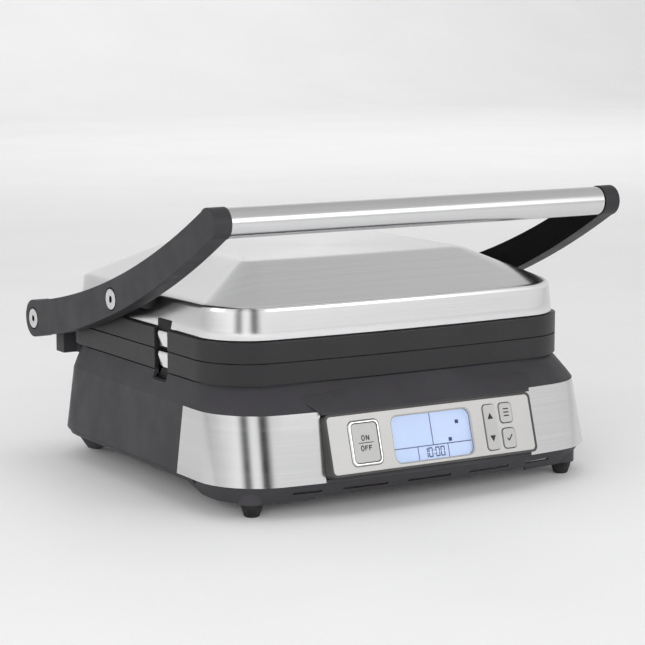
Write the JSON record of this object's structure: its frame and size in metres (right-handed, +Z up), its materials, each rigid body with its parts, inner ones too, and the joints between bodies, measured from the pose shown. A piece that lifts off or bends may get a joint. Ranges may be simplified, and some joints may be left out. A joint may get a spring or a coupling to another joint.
{
  "type": "panini press",
  "caption": "Countertop contact grill: a floating hinged lid and bar handle close a heated upper plate onto a lower plate over a sloping control panel.",
  "frame": {"origin": "on the table, under the middle of the whole appliance's bounding box", "axes": "+X to the right along the front, +Y to the back, +Z up"},
  "size_m": [0.3336, 0.3201, 0.2103],
  "materials": {
    "charcoal_plastic": "fine-grained charcoal moulding",
    "black_plastic": "matt black moulding",
    "arm_plastic": "fine-grained dark grey moulding",
    "brushed_steel": "brushed stainless steel",
    "silver_plastic": "satin warm silver",
    "bright_metal": "bright plated",
    "sheet_metal": "plain mill finish",
    "cast_plate": "dark non-stick coating on a casting",
    "rubber": "matt black",
    "display": "backlit pale blue display",
    "clear_window": "clear",
    "circuit_board": "green laminate",
    "heater_metal": "dark oxidised tube",
    "spring_steel": "plain"
  },
  "bodies": {
    "base": {"base_housing": "charcoal_plastic", "base_bottom_cover": "black_plastic", "front_feet": "rubber", "rear_feet": "rubber", "base_screws": "sheet_metal", "steel_wrap_left": "brushed_steel", "steel_wrap_right": "brushed_steel", "control_housing": "charcoal_plastic", "control_fascia": "silver_plastic", "power_button_ring": "bright_metal", "rocker_pin": "sheet_metal", "lcd_window": "clear_window", "lcd_module": "display", "control_board": "circuit_board", "key_switches": "black_plastic", "power_board": "circuit_board", "power_board_parts": "black_plastic", "cord_gland": "black_plastic", "lower_plate": "cast_plate", "lower_heat_pan": "sheet_metal", "lower_heating_element": "heater_metal", "lower_sensor": "sheet_metal", "grease_chute": "sheet_metal", "lower_latch_housing": "black_plastic", "lower_latch_spring": "spring_steel", "hinge_bracket_left": "charcoal_plastic", "hinge_bracket_right": "charcoal_plastic", "bracket_screws": "sheet_metal", "rear_pivot_bolts": "bright_metal"},
    "power_button": {"power_button": "silver_plastic"},
    "rocker_button": {"rocker_button": "silver_plastic"},
    "menu_button": {"menu_button": "silver_plastic"},
    "confirm_button": {"confirm_button": "silver_plastic"},
    "drip_tray": {"drip_tray": "black_plastic"},
    "lower_latch_button": {"lower_latch_button": "silver_plastic"},
    "hinge_washers": {"hinge_washers": "black_plastic"},
    "arms": {"arm_left": "arm_plastic", "arm_right": "arm_plastic", "handle_tube": "brushed_steel", "handle_spigots": "sheet_metal", "release_spring": "spring_steel"},
    "release_slider": {"release_slider": "black_plastic"},
    "lid": {"lid_cover": "brushed_steel", "lid_frame": "black_plastic", "upper_plate": "cast_plate", "upper_heat_pan": "sheet_metal", "upper_heating_element": "heater_metal", "upper_sensor": "sheet_metal", "upper_latch_housing": "black_plastic", "upper_latch_spring": "spring_steel", "lid_pivot_brackets": "sheet_metal", "lid_pivot_bolts": "bright_metal", "lid_spacers": "charcoal_plastic", "lid_screws": "sheet_metal"},
    "upper_latch_button": {"upper_latch_button": "silver_plastic"}
  },
  "joints": [
    {"name": "lid_open", "type": "hinge", "parent": "base", "child": "hinge_washers", "pos_m": [0, 0.1459, 0.1024], "axis": [-1, 0, 0], "range_deg": [0, 170]},
    {"name": "arm_float", "type": "hinge", "parent": "hinge_washers", "child": "arms", "pos_m": [0, 0.1459, 0.1024], "axis": [-1, 0, 0], "range_deg": [0, 6]},
    {"name": "lid_level", "type": "hinge", "parent": "arms", "child": "lid", "pos_m": [0, 0.0092, 0.1334], "axis": [-1, 0, 0], "range_deg": [-6, 0]},
    {"name": "power_press", "type": "slide", "parent": "base", "child": "power_button", "axis": [0, 0.9578, -0.2874], "range_m": [0, 0.0012], "stiffness_N_per_m": 400},
    {"name": "menu_press", "type": "slide", "parent": "base", "child": "menu_button", "axis": [0, 0.9578, -0.2874], "range_m": [0, 0.0012], "stiffness_N_per_m": 400},
    {"name": "confirm_press", "type": "slide", "parent": "base", "child": "confirm_button", "axis": [0, 0.9578, -0.2874], "range_m": [0, 0.0012], "stiffness_N_per_m": 400},
    {"name": "rocker_tilt", "type": "hinge", "parent": "base", "child": "rocker_button", "pos_m": [0.0484, -0.14945, 0.04529], "axis": [1, 0, 0], "range_deg": [-2.5, 2.5], "stiffness_Nm_per_rad": 0.4},
    {"name": "tray_slide", "type": "slide", "parent": "base", "child": "drip_tray", "axis": [0, 1, 0], "range_m": [0, 0.1]},
    {"name": "lower_latch_press", "type": "slide", "parent": "base", "child": "lower_latch_button", "axis": [1, 0, 0], "range_m": [0, 0.003], "stiffness_N_per_m": 600, "deforming": ["lower_latch_spring"]},
    {"name": "upper_latch_press", "type": "slide", "parent": "lid", "child": "upper_latch_button", "axis": [1, 0, 0], "range_m": [0, 0.003], "stiffness_N_per_m": 600, "deforming": ["upper_latch_spring"]},
    {"name": "release_slide", "type": "slide", "parent": "arms", "child": "release_slider", "axis": [0, 0.9802, -0.198], "range_m": [0, 0.005], "stiffness_N_per_m": 300, "deforming": ["release_spring"]}
  ],
  "couplings": [
    {"joint": "lid_level", "follows": "arm_float", "ratio": -1}
  ]
}
